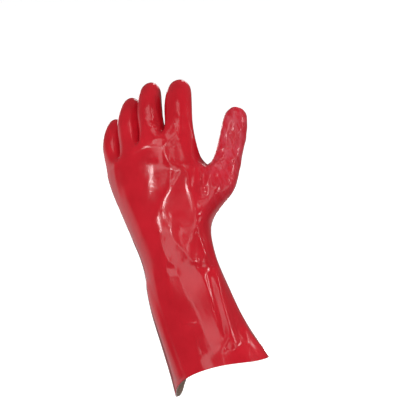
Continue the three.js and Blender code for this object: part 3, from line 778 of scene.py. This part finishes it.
def mapped(tree, place, stretch, turn=(0, 0, 0)):
    return add(tree, "ShaderNodeMapping", Vector=place, Scale=stretch, Rotation=turn).outputs["Vector"]


def map_range(tree, value, source, target, interpolation="LINEAR"):
    """A value carried over from one range of numbers to another."""
    node = add(tree, "ShaderNodeMapRange", Value=value, interpolation_type=interpolation)
    for name, bound in zip(("From Min", "From Max", "To Min", "To Max"), (*source, *target)):
        node.inputs[name].default_value = bound
    return node.outputs["Result"]


def colour_ramp(tree, value, stops):
    """Colours between two stops, each a place in the ramp and a colour."""
    node = add(tree, "ShaderNodeValToRGB", Fac=value)
    for element, (place, colour) in zip(node.color_ramp.elements, stops):
        element.position = place
        element.color = (*colour, 1)
    return node.outputs["Color"]


def bumped(tree, height, strength, distance, before=None):
    """The normal after a bump by a height, on top of the bumps before it."""
    node = add(tree, "ShaderNodeBump", Height=height, Strength=strength, Distance=distance)
    if before is not None:
        tree.links.new(before, node.inputs["Normal"])
    return node.outputs["Normal"]


# The Mix node's sockets for colours, which share their names with others
MIX_FIRST = 6
MIX_SECOND = 7
MIX_RESULT = 2

# The coat's looks. A noise is its scale, detail and roughness; a range is where it begins and ends.
RED_NOISE = (34, 4, 0.55)
RED_STOPS = [(0.3, (0.50, 0.0075, 0.017)), (0.72, (0.60, 0.0115, 0.024))]
GLOSS_NOISE = (90, 3, 0.6)
GLOSS_RANGE = (0.3, 0.75)
COAT_ROUGHNESS = (0.10, 0.21)
THUMB_DULLNESS = 0.05  # how much rougher the wrinkled thumb is
# the thumb's wrinkles are painted pale pink: a painted sheen standing in for the lamps' soft reflections
THUMB_PAINTED_SHEEN = (0.62, 0.11, 0.16, 1)
WRINKLE_NOISE = (260, 3, 0.62)
WRINKLE_STRETCH = (1, 0.5, 0.28)
WRINKLE_TURN = (0, math.radians(38), 0)
WRINKLE_RANGE = (0.4, 0.68)
# how much of that painted sheen the thumb's wrinkles take, least to most
WRINKLE_SHEEN_SHARE = (0.06, 0.5)
WRINKLE_STRENGTH = 0.5
WRINKLE_DEPTH = 0.0006
PEEL_NOISE = (330, 2, 0.5)
PEEL_STRENGTH = 0.12
PEEL_DEPTH = 0.0004
DIP_NOISE = (190, 3, 0.55)
DIP_STRETCH = (1, 1, 0.16)
DIP_STRENGTH = 0.12
DIP_DEPTH = 0.0006
PVC_IOR = 1.52


def coat_material():
    material, tree, shader = new_material("pvc_coat")
    place = add(tree, "ShaderNodeTexCoord").outputs["Object"]
    thumb = add(tree, "ShaderNodeAttribute", attribute_name="thumb").outputs["Fac"]
    wrinkle = noise_texture(tree, mapped(tree, place, WRINKLE_STRETCH, WRINKLE_TURN), WRINKLE_NOISE)
    # red, with a painted pale pink sheen over the thumb's wrinkles
    red = colour_ramp(tree, noise_texture(tree, place, RED_NOISE), RED_STOPS)
    painted_sheen = calculate(tree, "MULTIPLY", thumb, map_range(tree, wrinkle, WRINKLE_RANGE, WRINKLE_SHEEN_SHARE))
    sheen_mix = add(tree, "ShaderNodeMix", data_type="RGBA", Factor=painted_sheen)
    tree.links.new(red, sheen_mix.inputs[MIX_FIRST])
    sheen_mix.inputs[MIX_SECOND].default_value = THUMB_PAINTED_SHEEN
    tree.links.new(sheen_mix.outputs[MIX_RESULT], shader.inputs["Base Color"])
    # glossy, unevenly, and duller on the thumb
    rough = map_range(tree, noise_texture(tree, place, GLOSS_NOISE), GLOSS_RANGE, COAT_ROUGHNESS)
    duller = calculate(tree, "MULTIPLY_ADD", thumb, THUMB_DULLNESS, rough)
    tree.links.new(duller, shader.inputs["Roughness"])
    # slight orange peel, the dip's long runs, and fine wrinkles on the thumb
    peel = bumped(tree, noise_texture(tree, place, PEEL_NOISE), PEEL_STRENGTH, PEEL_DEPTH)
    runs = noise_texture(tree, mapped(tree, place, DIP_STRETCH), DIP_NOISE)
    dipped = bumped(tree, runs, DIP_STRENGTH, DIP_DEPTH, peel)
    strength = calculate(tree, "MULTIPLY", thumb, WRINKLE_STRENGTH)
    wrinkled = bumped(tree, wrinkle, strength, WRINKLE_DEPTH, dipped)
    tree.links.new(wrinkled, shader.inputs["Normal"])
    shader.inputs["IOR"].default_value = PVC_IOR
    shader.inputs["Specular IOR Level"].default_value = 0.5
    return material


# The lining's looks, its sizes in metres
WALES = 210  # ribs of the knit, counted round the arm
COURSE_HEIGHT = 0.0021
COURSE_LEAN = 1.6  # how far the rows of stitches rise and fall, as an angle of their wave
COURSE_SHARE = 0.5
# the knit's ribs and rows are painted darker in their hollows, a painted shade
KNIT_SHADE = 0.28
MOTTLE_NOISE = (60, 5, 0.65)
# the cotton is painted dark reddish brown instead of its own pale ecru: painted shade inside the cuff, with
# a painted reflection of the red skin
SHADED_COTTON_STOPS = [(0.3, (0.20, 0.10, 0.065)), (0.95, (0.50, 0.34, 0.25))]
KNIT_STRENGTH = 0.7
KNIT_DEPTH = 0.0006


def lining_material():
    material, tree, shader = new_material("cotton_lining")
    place = add(tree, "ShaderNodeTexCoord").outputs["Object"]
    split = add(tree, "ShaderNodeSeparateXYZ", Vector=place).outputs
    angle = calculate(tree, "ARCTAN2", split["Y"], split["X"])
    rib = calculate(tree, "SINE", calculate(tree, "MULTIPLY", angle, WALES / 2))
    rib = calculate(tree, "ABSOLUTE", rib)
    lean = calculate(tree, "SINE", calculate(tree, "MULTIPLY", angle, WALES / 4))
    course = calculate(tree, "MULTIPLY", split["Z"], 2 * math.pi / COURSE_HEIGHT)
    course = calculate(tree, "ADD", course, calculate(tree, "MULTIPLY", lean, COURSE_LEAN))
    course = calculate(tree, "MULTIPLY", calculate(tree, "SINE", course), COURSE_SHARE)
    knit = calculate(tree, "ADD", course, rib)
    mottle = noise_texture(tree, place, MOTTLE_NOISE)
    shade = calculate(tree, "ADD", calculate(tree, "MULTIPLY", knit, KNIT_SHADE), mottle)
    # colour from the knit's painted shade and a random mottle, on cotton painted as in shade
    tree.links.new(colour_ramp(tree, shade, SHADED_COTTON_STOPS), shader.inputs["Base Color"])
    tree.links.new(bumped(tree, knit, KNIT_STRENGTH, KNIT_DEPTH), shader.inputs["Normal"])
    shader.inputs["Roughness"].default_value = 0.92
    shader.inputs["Sheen Weight"].default_value = 0.25
    return material


coat.data.materials.append(coat_material())
lining.data.materials.append(lining_material())
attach(coat, "root")
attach(lining, "root")
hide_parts("pvc_coat")
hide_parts("cotton_lining")


# Stage, in metres: a pale floor that bends up into a wall
FLOOR_Z = -0.45
FLOOR_RADIUS = 1.5
BEND_RADIUS = 1.3
BEND_STEPS = 12
WALL_TOP = 3.2
FLOOR_SIDES = 96


def make_stage():
    profile = [(FLOOR_RADIUS / 3, FLOOR_Z), (FLOOR_RADIUS, FLOOR_Z)]
    for k in range(1, BEND_STEPS + 1):
        a = math.pi / 2 * k / BEND_STEPS
        profile.append((FLOOR_RADIUS + BEND_RADIUS * math.sin(a), FLOOR_Z + BEND_RADIUS * (1 - math.cos(a))))
    profile.append((FLOOR_RADIUS + BEND_RADIUS, WALL_TOP))
    points = [(0, 0, FLOOR_Z)]
    for radius, z in profile:
        for k in range(FLOOR_SIDES):
            a = 2 * math.pi * k / FLOOR_SIDES
            points.append((radius * math.cos(a), radius * math.sin(a), z))
    faces = [(0, 1 + k, 1 + (k + 1) % FLOOR_SIDES) for k in range(FLOOR_SIDES)]
    for row in range(len(profile) - 1):
        low = 1 + row * FLOOR_SIDES
        high = low + FLOOR_SIDES
        for k in range(FLOOR_SIDES):
            j = (k + 1) % FLOOR_SIDES
            faces.append((low + k, high + k, high + j, low + j))
    made = make_object("studio_floor", points, faces)
    material, _, shader = new_material("studio_floor")
    shader.inputs["Base Color"].default_value = (0.8, 0.8, 0.8, 1)
    shader.inputs["Roughness"].default_value = 1.0
    shader.inputs["Specular IOR Level"].default_value = 0.0
    shader.inputs["Emission Color"].default_value = (1, 1, 1, 1)
    shader.inputs["Emission Strength"].default_value = 0.62
    made.data.materials.append(material)
    made.visible_glossy = False
    made.visible_diffuse = False
    made.visible_shadow = False


make_stage()


# Lights, in metres and degrees round the glove's middle: name, azimuth, elevation, distance, width,
# height, radiance and, where it isn't level, roll. The boxes and streaks are what the skin reflects.
CENTRE = Vector((0.02, 0.0, 0.15))
REFLECTED_LIGHTS = [
    ("panel_box", 9.5, 3, 2.4, 1.15, 0.95, 1.5),
    ("upper_panel_box", -28, 25, 2.3, 0.78, 1.06, 1.6),
    ("middle_panel_box", -12, 11, 2.35, 0.6, 0.5, 1.6),
    ("line_box", 20, 30, 2.3, 0.12, 1.0, 3),
    ("overhead_box", 5, 66, 1.9, 0.6, 0.7, 1.6),
    ("finger_box", 40, 53, 2.0, 0.25, 0.45, 2.6),
    ("thumb_box", -30, 49, 2.0, 0.3, 0.26, 3.2),
    ("streak_left", -46.0, 38.4, 2.0, 0.26, 0.055, 60, -29),
    ("streak_middle", -21.5, 37.2, 2.0, 0.26, 0.2, 20),
    ("streak_upper", -12, 48, 2.0, 0.16, 0.12, 8),
    ("line_low_box", 29, 13, 2.2, 0.2, 0.3, 3.5),
    ("line_mid_box", 42, -4, 2.2, 0.22, 0.16, 13),
    ("line_side_box", 62, -14, 2.2, 0.5, 0.3, 2.2),
    ("streak_right", 80, 0, 2.0, 0.12, 0.5, 14),
    ("rear_box", 196, 14, 2.2, 0.45, 1.1, 3.0),
    ("rear_strip", 152, 30, 2.2, 0.14, 1.0, 7),
    ("rear_low_box", 185, -38, 2.1, 0.8, 0.5, 1.6),
    ("rear_streak", 172, -16, 2.1, 0.12, 0.5, 9),
]
# the same columns, for lights that the skin doesn't reflect
FILL_LIGHTS = [
    ("fill_front", -8, 28, 2.6, 2.0, 1.6, 2.35),
    ("fill_low", -35, -22, 2.6, 1.4, 1.0, 2.8),
    ("fill_right", 95, 8, 2.6, 1.4, 1.6, 5.8),
    ("fill_rear", 170, 35, 2.6, 1.8, 1.6, 1.5),
]


def direction(azimuth, elevation):
    """Toward a place round the object: azimuth 0 is the front, -Y, and 90 is +X."""
    a, e = math.radians(azimuth), math.radians(elevation)
    return Vector((math.sin(a) * math.cos(e), -math.cos(a) * math.cos(e), math.sin(e)))


def make_light(reflected, name, azimuth, elevation, distance, width, height, radiance, roll=0):
    """An area light that faces the glove and that the camera doesn't see."""
    data = bpy.data.lights.new(name, "AREA")
    data.shape = "RECTANGLE"
    data.size = width
    data.size_y = height
    data.energy = radiance * math.pi * width * height
    lamp = bpy.data.objects.new(name, data)
    way = direction(azimuth, elevation)
    lamp.location = CENTRE + way * distance
    lamp.rotation_mode = "QUATERNION"
    level = (-way).to_track_quat("-Z", "Y")
    lamp.rotation_quaternion = level @ Quaternion((0, 0, 1), math.radians(roll))
    lamp.visible_camera = False
    lamp.visible_glossy = reflected
    bpy.context.scene.collection.objects.link(lamp)


for light in REFLECTED_LIGHTS:
    make_light(True, *light)
for light in FILL_LIGHTS:
    make_light(False, *light)


# The world is dim, with a glow behind the glove on the left and another low behind it: direction, cosines
# where the glow begins and where it is full, strength
WORLD_DIM = 0.12
GLOWS = [((-0.86, 0.5, 0.05), 0.76, 0.97, 0.85), ((0.1, 0.66, -0.74), 0.66, 0.97, 0.6)]


def make_world():
    world = bpy.data.worlds.new("studio")
    world.use_nodes = True
    tree = world.node_tree
    place = add(tree, "ShaderNodeTexCoord").outputs["Generated"]
    strengths = []
    for toward, begins, full, strength in GLOWS:
        side = add(tree, "ShaderNodeVectorMath", operation="DOT_PRODUCT")
        tree.links.new(place, side.inputs[0])
        side.inputs[1].default_value = toward
        cosine = side.outputs["Value"]
        strengths.append(map_range(tree, cosine, (begins, full), (WORLD_DIM, strength), "SMOOTHSTEP"))
    back = tree.nodes["Background"]
    tree.links.new(calculate(tree, "MAXIMUM", *strengths), back.inputs["Strength"])
    back.inputs["Color"].default_value = (1, 1, 1, 1)
    bpy.context.scene.world = world


make_world()
bpy.context.scene.view_settings.view_transform = "Standard"


# Camera: the photograph's, in millimetres and degrees
VIEW_WIDTH = 420  # what the picture spans at the glove
VIEW_DISTANCE = 1300
CAMERA_PLACE = (44.2, -VIEW_DISTANCE, 174.7)
CAMERA_ROLL = 21
SENSOR_WIDTH = 36


def make_camera():
    data = bpy.data.cameras.new("camera")
    data.sensor_width = SENSOR_WIDTH
    data.lens = SENSOR_WIDTH * VIEW_DISTANCE / VIEW_WIDTH
    data.clip_start = 0.05
    data.clip_end = 30
    roll = math.radians(CAMERA_ROLL)
    right = (math.cos(roll), 0, -math.sin(roll))
    upward = (math.sin(roll), 0, math.cos(roll))
    toward = (0, -1, 0)
    camera = bpy.data.objects.new("camera", data)
    bpy.context.scene.collection.objects.link(camera)
    rows = list(zip(right, upward, toward, Vector(CAMERA_PLACE) * MM))
    camera.matrix_world = Matrix(rows + [(0, 0, 0, 1)])
    bpy.context.scene.camera = camera


make_camera()
